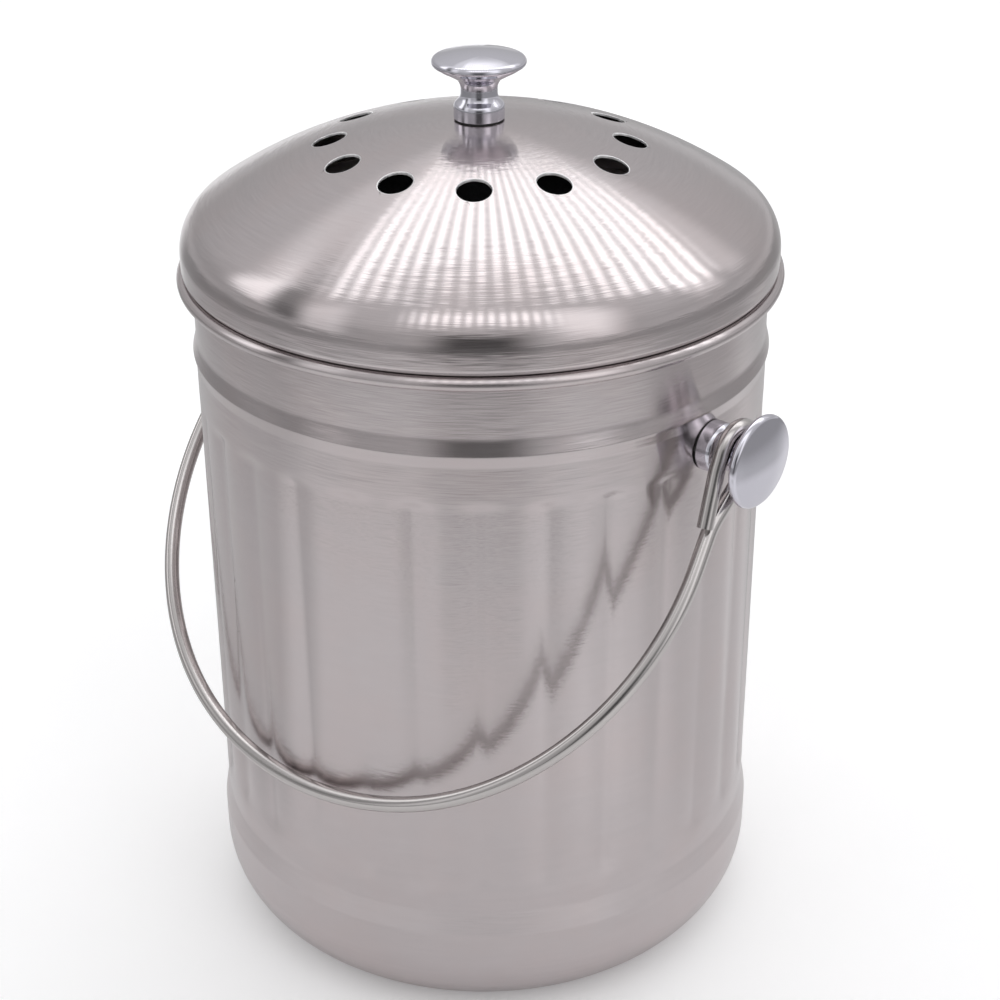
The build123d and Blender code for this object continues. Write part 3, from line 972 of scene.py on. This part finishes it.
# ---- knobs and screws ----
def make_knob(size, name):
    """A turned knob that stands on z=0: foot, waist, flare and a slightly domed head."""
    head_radius = knob_high.x
    height = knob_high.z - knob_low.z
    crown_foot = head_radius - 2 * size.edge_radius
    slope = 2 * math.atan(size.crown / crown_foot)
    sphere = crown_foot / math.sin(slope)
    edge_top = height - size.crown - 2 * size.edge_radius * math.tan(slope)
    corners = [
        (0, 0),
        (size.gasket_radius, 0),
        (size.gasket_radius, -size.skirt),
        (size.base_radius, -size.skirt),
        (size.base_radius, size.base_height),
        (size.waist_radius, size.waist_start),
        (size.waist_radius, size.waist_end),
        (size.flare_radius, size.head_start - size.flare_drop),
        (head_radius, size.head_start),
        (head_radius, edge_top),
        (crown_foot, height - size.crown),
    ]
    foot, neck = [0, 0, 0, 0.12 * MM, 2 * MM], [3 * MM, 4 * MM, 3 * MM]
    side = rounded_line(corners, foot + neck + [1 * MM, size.edge_radius, 0], hold=0.3 * MM)
    upright = math.pi / 2
    crown = arc_points((0, height - sphere), sphere, upright - slope, upright, math.radians(1))
    return turned(name, side[:-1] + crown, 96, sharp=50)


def make_screw(size, name, grip):
    """Pan-head screw, point up: z=0 is the knob's seat and the head lies below the grip."""
    head = -grip - size.screw_head_height
    corners = [
        (0, head),
        (size.screw_head_radius, head),
        (size.screw_head_radius, -grip),
        (size.screw_radius, -grip),
        (size.screw_radius, size.screw_bite),
        (0, size.screw_bite),
    ]
    radii = [0, 1.2 * MM, 0.15 * MM, 0.1 * MM, 0.6 * MM, 0]
    outline = rounded_line(corners, radii, step=math.radians(12), hold=0.2 * MM)
    screw = turned(name, outline, 48, sharp=35)
    cut(screw, cross_cutter(head), sharp=35)
    return screw


def cross_cutter(head):
    """A tapered cross, sunk into a screw's head from below."""
    wide, narrow, deep, taper = 4.4 * MM, 1.1 * MM, 1.3 * MM, 0.62
    bars = []
    for size in ((wide, narrow), (narrow, wide)):
        bpy.ops.mesh.primitive_cube_add(size=1, location=(0, 0, head))
        bar = bpy.context.object
        bar.scale = (*size, 2 * deep)
        bpy.ops.object.transform_apply()
        bpy.ops.object.mode_set(mode="EDIT")
        select(bar, "verts", lambda v: v.co.z > head)
        bpy.ops.transform.resize(value=(taper, taper, 1), center_override=(0, 0, head))
        bpy.ops.object.mode_set(mode="OBJECT")
        bars.append(bar)
    modify(bars[0], "BOOLEAN", object=bars[1], operation="UNION")
    remove(bars[1])
    return bars[0]


def seats():
    """Each knob's name in two parts, its body, and the matrix from z=0 to its seat."""
    side = side_knob_low.x
    quarter = math.pi / 2
    right = Matrix.Translation((side, 0, pivot.z)) @ Matrix.Rotation(quarter, 4, "Y")
    left = Matrix.Translation((-side, 0, pivot.z)) @ Matrix.Rotation(-quarter, 4, "Y")
    top = Matrix.Translation((0, 0, knob_low.z))
    return [
        ("pivot", "_right", "pail", right),
        ("pivot", "_left", "pail", left),
        ("lid", "", "lid", top),
    ]


# ---- bail ----
def arc_between(before, corner, after, radius, steps=10):
    """Points of the arc that rounds a corner between three points in space."""
    back, ahead = (before - corner).normalized(), (after - corner).normalized()
    half = back.angle(ahead) / 2
    centre = corner + (back + ahead).normalized() * radius / math.sin(half)
    start = corner + back * radius / math.tan(half) - centre
    axis = start.cross(ahead).normalized()
    swing = math.pi - 2 * half
    return [centre + Matrix.Rotation(a, 3, axis) @ start for a in spaced(0, swing, steps)]


def touch_point(across, drop, radius, side):
    """Where a line from (across, drop) touches a circle about the origin."""
    away = math.hypot(across, drop)
    angle = math.atan2(across, drop) + side * math.acos(radius / away)
    return radius * math.sin(angle), radius * math.cos(angle)


def bail_shape(size, knob):
    """Radii and centres of the bow's arcs, hanging straight down from the pivot axis."""
    waist = (knob.waist_start + knob.waist_end) / 2
    plane = side_knob_low.x + waist + size.eye_shift
    splay = size.leg_splay
    side = (plane + size.leg_run * math.sin(splay) - size.side_slack) / math.cos(splay)
    bottom = side + size.side_slack + size.bottom_slack
    drop = size.knee_drop + size.leg_run * math.cos(splay) + side * math.sin(splay)
    join = math.asin(size.side_slack / (bottom - side))
    centre = drop - (bottom - side) * math.cos(join)
    return plane, side, drop, bottom, centre, join


def bail_half(size, knob, hand):
    """Points of half the bail, from the bow's bottom to the tail's cut end."""
    plane, side, side_drop, bottom, bottom_drop, join = bail_shape(size, knob)
    behind = -size.offset
    eye = knob.waist_radius + size.eye_clearance + size.wire_radius

    def at(x, forward, drop):
        return Vector((hand * x, -forward, -drop))

    points = []
    for a in spaced(0, join, 24):
        points.append(at(bottom * math.sin(a), behind, bottom_drop + bottom * math.cos(a)))
    for a in spaced(join, math.pi / 2 + size.leg_splay, 60)[1:]:
        x = size.side_slack + side * math.sin(a)
        points.append(at(x, behind, side_drop + side * math.cos(a)))

    leg_end = touch_point(behind, size.knee_drop, eye, -1)
    tail_side = behind + math.sqrt((2 * size.wire_radius + size.tail_gap) ** 2 - size.tail_lean**2)
    tail_start = touch_point(tail_side, size.tail_drop, eye, 1)
    slope = (tail_side - tail_start[0]) / (size.tail_drop - tail_start[1])
    tail_knee = tail_start[0] + slope * (size.tail_knee_drop - tail_start[1])
    leg_top, tail_top = at(plane, *leg_end), at(plane, *tail_start)
    knee = at(plane, behind, size.knee_drop)
    points += arc_between(points[-1], knee, leg_top, size.knee_radius)
    first, last = math.atan2(*leg_end), math.atan2(*tail_start)
    turn = (last - first) % -TURN
    for a in spaced(first, first + turn, 40):
        points.append(at(plane, eye * math.sin(a), eye * math.cos(a)))
    bend = at(plane, tail_knee, size.tail_knee_drop)
    end = at(plane + size.tail_lean, tail_side, size.tail_drop)
    return points + arc_between(tail_top, bend, end, size.tail_knee_radius) + [end]


def bail_rest_angle(size, knob):
    """Swing from straight down to where the bow meets the ribs."""
    _, _, _, bottom, bottom_drop, _ = bail_shape(size, knob)
    drop = bottom + bottom_drop
    contact = bpy.context.scene.pail_sizes.body_radius + size.wire_radius + size.rest_gap
    return math.asin(contact / math.hypot(drop, size.offset)) + math.atan(size.offset / drop)


CUT_CHAMFER = 0.45 * MM  # at the wire's cut ends


def make_bail(size, knob):
    """The bail's line is drawn, turned into a round wire and its cut ends are chamfered."""
    left = bail_half(size, knob, -1)
    points = left[:0:-1] + bail_half(size, knob, 1)
    spaced = [points[0]]
    for point in points[1:]:
        if (point - spaced[-1]).length > 0.05 * MM:
            spaced.append(point)
    swing = Matrix.Translation(pivot) @ Matrix.Rotation(-bail_rest_angle(size, knob), 4, "X")
    wire = draw("bail", [swing @ point for point in spaced])
    bpy.ops.object.mode_set(mode="OBJECT")
    bpy.ops.object.convert(target="CURVE")
    wire = bpy.context.object
    wire.data.bevel_depth = size.wire_radius
    wire.data.bevel_resolution = 8
    wire.data.use_fill_caps = True
    bpy.ops.object.convert(target="MESH")
    wire = bpy.context.object
    chamfer_ends(wire, CUT_CHAMFER)
    return wire


def chamfer_ends(wire, width):
    edit(wire)
    merge_all()
    bpy.ops.mesh.normals_make_consistent(inside=False)
    select(wire, "faces", lambda face: len(face.verts) > 4)
    bpy.ops.mesh.bevel(offset=width, segments=3, affect="EDGES")
    leave(wire, sharp=40)


# ---- operators: one for each piece or group of like pieces ----
class AddPail(bpy.types.Operator):
    """Add the pail: base, ribbed wall, swelled band and rolled rim"""

    bl_idname = "compost_pail.add_pail"
    bl_label = "Pail"

    def execute(self, context):
        size = context.scene.pail_sizes
        shell = make_pail(size)
        cut(shell, pivot_cutter(size), sharp=40)
        hand_over(shell, "pail", finish("brushed_body"), "brushed_stainless", "pail_shell")
        return {"FINISHED"}


class AddLid(bpy.types.Operator):
    """Add the lid's dome with its ring of punched vents"""

    bl_idname = "compost_pail.add_lid"
    bl_label = "Lid"

    def execute(self, context):
        dome = make_dome(context.scene.lid_sizes, context.scene.pail_sizes.sheet)
        hand_over(dome, "lid", finish("brushed_lid"), "brushed_stainless", "lid_dome")
        return {"FINISHED"}


class AddPlugRing(bpy.types.Operator):
    """Add the ring that centres the lid in the pail, with the filter's clips"""

    bl_idname = "compost_pail.add_plug_ring"
    bl_label = "Plug ring and clips"

    def execute(self, context):
        size, sheet = context.scene.lid_sizes, context.scene.pail_sizes.sheet
        ring = make_plug_ring(size, sheet)
        hand_over(ring, "lid", finish("plain_sheet"), "plain_stainless", "lid_plug_ring")
        clips = make_clips(size, sheet)
        hand_over(clips, "lid", finish("plain_sheet"), "plain_stainless", "filter_clips")
        return {"FINISHED"}


class AddFilter(bpy.types.Operator):
    """Add the filter's fleece and its carbon pad"""

    bl_idname = "compost_pail.add_filter"
    bl_label = "Filter"

    def execute(self, context):
        box = (fleece_low, fleece_high)
        fleece = make_pad("fleece_disc", *box, edge=0.7 * MM, unevenness=0.12 * MM, grain=2 * MM)
        hand_over(fleece, "lid", finish("needled_fleece"), "grey_fleece", "filter_fleece")
        box = (carbon_low, carbon_high)
        carbon = make_pad("carbon_disc", *box, edge=1.2 * MM, unevenness=0.2 * MM, grain=4 * MM)
        hand_over(carbon, "lid", finish("carbon_felt"), "carbon_pad", "filter_carbon_pad")
        return {"FINISHED"}


class AddKnobs(bpy.types.Operator):
    """Add the lid's knob and the two knobs that the bail turns on, with their screws"""

    bl_idname = "compost_pail.add_knobs"
    bl_label = "Knobs and screws"

    def execute(self, context):
        size, sheet = context.scene.knob_sizes, context.scene.pail_sizes.sheet
        knob = make_knob(size, "turned_knob")
        grip = size.gasket + sheet + size.washer + size.lock_washer
        screw = make_screw(size, "pan_screw", grip)
        for prefix, suffix, body, seat in seats():
            one = placed(copy_of(knob, f"{prefix}_chrome_knob{suffix}"), seat)
            node = f"{prefix}_knob{suffix}"
            hand_over(one, body, finish("chrome_plate"), "polished_chrome", node)
            one = placed(copy_of(screw, f"{prefix}_pan_screw{suffix}"), seat)
            hand_over(one, body, finish("zinc_plate"), "zinc_steel", f"{prefix}_screw{suffix}")
        remove(knob)
        remove(screw)
        return {"FINISHED"}


class AddBail(bpy.types.Operator):
    """Add the bent wire bail with an eye round each pivot knob"""

    bl_idname = "compost_pail.add_bail"
    bl_label = "Bail"

    def execute(self, context):
        bail = make_bail(context.scene.bail_sizes, context.scene.knob_sizes)
        hand_over(bail, "bail", finish("drawn_wire"), "bright_wire", "bail_wire")
        return {"FINISHED"}


GASKET_PROUD = 0.3 * MM  # the frame's rings reach this far past the knobs' feet


class AddGaskets(bpy.types.Operator):
    """Add the rubber rings, which stand back a little under the feet of the knobs"""

    bl_idname = "compost_pail.add_gaskets"
    bl_label = "Gaskets"

    def execute(self, context):
        size = context.scene.knob_sizes
        for prefix, suffix, body, seat in seats():
            node = frame["nodes"][f"{prefix}_gasket{suffix}"]
            ring = copy_of(node, f"{prefix}_rubber_ring{suffix}")
            edit(ring)
            merge_all()
            slim = size.gasket_radius / (size.base_radius + GASKET_PROUD)
            across = (slim, slim, 1) if body == "lid" else (1, slim, slim)
            bpy.ops.transform.resize(value=across, center_override=seat.translation)
            leave(ring)
            hand_over(ring, body, finish("black_rubber"), "black_rubber", node.name)
        return {"FINISHED"}


class DressWashers(bpy.types.Operator):
    """Give the washers of the frame their own finish"""

    bl_idname = "compost_pail.dress_washers"
    bl_label = "Washers"

    def execute(self, context):
        for name, node in frame["nodes"].items():
            if "washer" in name:
                node.data.materials.clear()
                node.data.materials.append(finish("zinc_plate"))
        return {"FINISHED"}


# ---- studio ----
# The camera's place and its own axes, at the photograph's viewing angle, and its lens in mm.
CAMERA_PLACE = (0.39582, -0.44426, 0.45567)
CAMERA_RIGHT = (0.754340, 0.656469, -0.004493)
CAMERA_UP = (-0.303362, 0.354642, 0.884421)
CAMERA_BACK = (0.582188, -0.665791, 0.466668)
CAMERA_LENS = 74.89


def add_camera():
    bpy.ops.object.camera_add(location=CAMERA_PLACE)
    camera = bpy.context.object
    axes = Matrix((CAMERA_RIGHT, CAMERA_UP, CAMERA_BACK)).transposed()
    camera.rotation_euler = axes.to_euler()
    camera.data.lens = CAMERA_LENS
    camera.data.sensor_width = 36
    camera.data.clip_start = 0.01
    bpy.context.scene.camera = camera


def studio_sides():
    """Level directions of the studio: towards the camera, and to the camera's right."""
    front = Vector((CAMERA_BACK[0], CAMERA_BACK[1], 0)).normalized()
    return front, Vector((-front.y, front.x, 0))


# Painted light and shade on the floor round the pail, which show as painted reflections in its
# wall: start and end in degrees from the camera's side, softness of these edges, how much brighter
# or darker they are, and their nearest and farthest place from the pail's axis.
PAINTED_FLOOR_LIGHT = (
    (-19, 19, 6, -0.22, 0.32, 0.43),
    (-180, 180, 1, 0.14, 0.00, 0.12),
    (30, 44, 7, 0.08, 0.20, 0.45),
    (64, 112, 12, -0.14, 0.15, 0.42),
    (64, 112, 12, -0.42, 0.42, 0.90),
    (128, 200, 12, -0.26, 0.15, 0.60),
    (-200, -140, 12, -0.34, 0.15, 0.60),
    (-140, -72, 12, -0.30, 0.15, 0.60),
    (-135, -50, 12, -0.16, 0.52, 0.95),
    (-135, -50, 12, 0.22, 1.40, 9.00),
)
PAINTED_PATCH_EDGE = 0.045
FLOOR_LEVEL = 1.22
# Painted shade on the floor beyond the pail, which stands in for darker surroundings in the wall's
# reflections, and where the one passes into the other. Its level goes from one change to another
# between two directions, and drops by so much between two more; the drop in front is painted shade
# for the camera's dark reflection.
PAINTED_SHADE_START = (0.40, 0.86)
PAINTED_SHADE_LEVEL = 0.50
PAINTED_SHADE_SIDES = ((138, 158, 0.0, 0.18), (-158, -138, 0.85, 0.0))
PAINTED_SHADE_DROPS = ((-130, -50, 15, 0.08), (-18, 18, 10, 0.30))
FLOOR_GLOW = 0.15


def add_floor(rgb):
    """A pale sheet: white to the camera; to other rays it carries painted light and shade, and ends
    in painted shade that stands in for darker surroundings in front.
    """
    bpy.ops.object.select_all(action="DESELECT")
    bpy.ops.mesh.primitive_plane_add(size=8)
    floor = bpy.context.object
    floor.name = "floor"
    material, sheet, surface = new_material(
        "floor_sheet", Roughness=0.9, Specular_IOR_Level=0.0, Emission_Color=WHITE
    )
    place = sheet.place()
    front, right = studio_sides()
    to_front = sheet.vector("DOT_PRODUCT", place, front)
    to_right = sheet.vector("DOT_PRODUCT", place, right)
    away = sheet.vector("LENGTH", place)
    turn = sheet.angle(to_right, to_front)
    level = FLOOR_LEVEL
    for start, end, soft, change, near, far in PAINTED_FLOOR_LIGHT:
        # painted light or shade on the floor's colour, seen in the wall's reflections
        painted_patch = sheet.window(turn, start, end, soft) * change
        level = level + painted_patch * sheet.window(away, near, far, PAINTED_PATCH_EDGE)
    # painted shade round the floor's edge, deepest in front of the camera
    painted_shade = PAINTED_SHADE_LEVEL
    for side in PAINTED_SHADE_SIDES:
        painted_shade = painted_shade + sheet.ease(turn, *side)
    for start, end, soft, drop in PAINTED_SHADE_DROPS:
        painted_shade = painted_shade - sheet.window(turn, start, end, soft) * drop
    level = sheet.ease(away, *PAINTED_SHADE_START, level, painted_shade)
    grain = sheet.noise(place, 40.0, 3.0, 0.6)
    # the floor's colour with its painted light and shade, for rays other than the camera's
    own = sheet.scaled(sheet.blend(grain, shade(rgb, 0.99), shade(rgb, 1.01)), level)
    seen = sheet.read("ShaderNodeLightPath", "Is Camera Ray")
    white = sheet.blend(grain, (0.98, 0.98, 0.98, 1.0), WHITE)
    tone, glow = sheet.blend(seen, own, white), seen * FLOOR_GLOW
    sheet.fill(surface, Base_Color=tone, Emission_Strength=glow)
    floor.data.materials.append(material)


# Lamps of the studio: span and softness of the fan angle in degrees, span and softness
# towards the camera, lowest height, strength (below 0 for a dark flag), and the spacing of
# the stripes or 0.
LAMPS = (
    ((-35, 57, 4), (-0.80, -0.15, 0.17), 0.55, 1.04, 3.95),
    ((-54, -34, 5), (-0.86, -0.26, 0.09), 0.30, 0.24, 0),
    ((57, 66, 4), (-0.86, -0.36, 0.09), 0.30, 0.24, 0),
    ((-14, 14, 5), (0.24, 0.62, 0.18), 0.00, 0.84, 2.2),
    ((14, 27, 5), (0.24, 0.84, 0.18), 0.00, 0.64, 0),
    ((-36, -27, 3), (0.15, 0.85, 0.12), 0.00, 0.34, 0),
    ((45, 56, 3), (-0.30, -0.02, 0.09), 0.25, 0.32, 0),
    ((-58, -45, 3), (-0.34, 0.02, 0.12), 0.25, 0.84, 0),
    ((-67, -58, 3), (-0.34, 0.20, 0.12), 0.20, 0.26, 0),
    ((-44, -37, 3), (-0.30, 0.80, 0.12), 0.10, -0.30, 0),
)
# Points behind the pail that the lamps and their stripes fan out from, and where the
# stripes come up out of an even light near theirs.
FAN_APEX, STRIPE_APEX = 0.885, 0.93
STRIPE_FADE = (0.08, 0.3)
STRIPE_SHAPE = (-0.6, 0.6, 0.35, 1.65)  # from dark to bright, of the even light
LAMP_FOOT = (-0.1, 0.15)  # a lamp comes up over this height about its lowest
# Level of the horizon from left to right, of the sky from there up, and of the floor's line.
HORIZON = (-0.9, 0.3, 0.38, 0.48)
SKY_SPAN, SKY_LEVEL = (-0.05, 0.75), 0.64
SKIRTING = (0.03, 0.14, 0.12, 0.0)
# The dark camera: its span to the right, how far in front it starts, and how it ends above.
CAMERA_SPAN = (-0.27, 0.27, 0.16)
CAMERA_FRONT = (0.6, 0.8)
CAMERA_TOP = (0.25, 0.55, 0.85, 0.0)
BLUE = 1.01  # the light is this much cooler than grey


def add_world():
    """A soft studio: striped lamps overhead that fan out, pale walls, darkness at the camera."""
    world = bpy.data.worlds.new("studio")
    bpy.context.scene.world = world
    world.use_nodes = True
    sheet = Sheet(world.node_tree)
    direction = sheet.vector("NORMALIZE", sheet.read("ShaderNodeTexCoord", "Generated"))
    front, right = studio_sides()
    to_right = sheet.vector("DOT_PRODUCT", direction, right)
    to_front = sheet.vector("DOT_PRODUCT", direction, front)
    up = sheet.vector("DOT_PRODUCT", direction, (0, 0, 1))
    fan = sheet.angle(to_right, to_front + FAN_APEX)
    stripes = sheet.angle(to_right, to_front + STRIPE_APEX)
    spread = sheet.ease(to_front + STRIPE_APEX, *STRIPE_FADE)

    level = sheet.ease(up, *SKY_SPAN, sheet.ease(to_right, *HORIZON), SKY_LEVEL)
    level = level + sheet.ease(up, *SKIRTING)
    spot = sheet.window(to_right, *CAMERA_SPAN) * sheet.ease(to_front, *CAMERA_FRONT)
    level = level * (1.0 - spot * sheet.ease(up, *CAMERA_TOP))
    for fan_span, front_span, lowest, strength, spacing in LAMPS:
        foot = sheet.ease(up, *[lowest + offset for offset in LAMP_FOOT])
        lamp = sheet.window(fan, *fan_span) * strength * foot * sheet.window(to_front, *front_span)
        if spacing:
            wave = sheet.math("COSINE", stripes * (TURN / spacing)) * spread
            lamp = lamp * sheet.ease(wave, *STRIPE_SHAPE)
        level = level + lamp

    light = sheet.combine(level, level, level * BLUE)
    studio, plain = [
        sheet.filled(sheet.add("ShaderNodeBackground"), [tone]) for tone in (light, WHITE)
    ]
    seen = sheet.read("ShaderNodeLightPath", "Is Camera Ray")
    shown = sheet.filled(sheet.add("ShaderNodeMixShader"), (seen, studio, plain))
    sheet.put(sheet.add("ShaderNodeOutputWorld").inputs["Surface"], shown)


class AddStage(bpy.types.Operator):
    """Add the floor, the soft studio light and the camera"""

    bl_idname = "compost_pail.add_stage"
    bl_label = "Stage"

    def execute(self, context):
        add_floor(context.scene.pail_finishes.floor)
        add_world()
        add_camera()
        context.scene.view_settings.view_transform = "Standard"
        return {"FINISHED"}


OPERATORS = (
    AddPail,
    AddLid,
    AddPlugRing,
    AddFilter,
    AddKnobs,
    AddBail,
    AddGaskets,
    DressWashers,
    AddStage,
)
GROUPS = {
    "pail_sizes": PailSizes,
    "lid_sizes": LidSizes,
    "knob_sizes": KnobSizes,
    "bail_sizes": BailSizes,
    "pail_finishes": Finishes,
}


class PailPanel(bpy.types.Panel):
    """Sizes and finishes of the pail, and a button for each of its pieces"""

    bl_idname = "VIEW3D_PT_compost_pail"
    bl_label = "Compost pail"
    bl_space_type = "VIEW_3D"
    bl_region_type = "UI"
    bl_category = "Compost pail"

    def draw(self, context):
        for operator in OPERATORS:
            self.layout.operator(operator.bl_idname)
        for name, group in GROUPS.items():
            box = self.layout.box()
            box.label(text=name.replace("_", " ").capitalize())
            for key in group.__annotations__:
                box.prop(getattr(context.scene, name), key)


def register():
    for group in GROUPS.values():
        bpy.utils.register_class(group)
    for name, group in GROUPS.items():
        setattr(bpy.types.Scene, name, bpy.props.PointerProperty(type=group))
    for operator in OPERATORS:
        bpy.utils.register_class(operator)
    bpy.utils.register_class(PailPanel)


def unregister():
    bpy.utils.unregister_class(PailPanel)
    for operator in reversed(OPERATORS):
        bpy.utils.unregister_class(operator)
    for name in GROUPS:
        delattr(bpy.types.Scene, name)
    for group in reversed(list(GROUPS.values())):
        bpy.utils.unregister_class(group)


def main():
    register()
    bpy.ops.compost_pail.add_stage()
    bpy.ops.compost_pail.add_pail()
    bpy.ops.compost_pail.add_lid()
    bpy.ops.compost_pail.add_plug_ring()
    bpy.ops.compost_pail.add_filter()
    bpy.ops.compost_pail.add_knobs()
    bpy.ops.compost_pail.add_bail()
    bpy.ops.compost_pail.add_gaskets()
    bpy.ops.compost_pail.dress_washers()


if __name__ == "__main__":
    main()
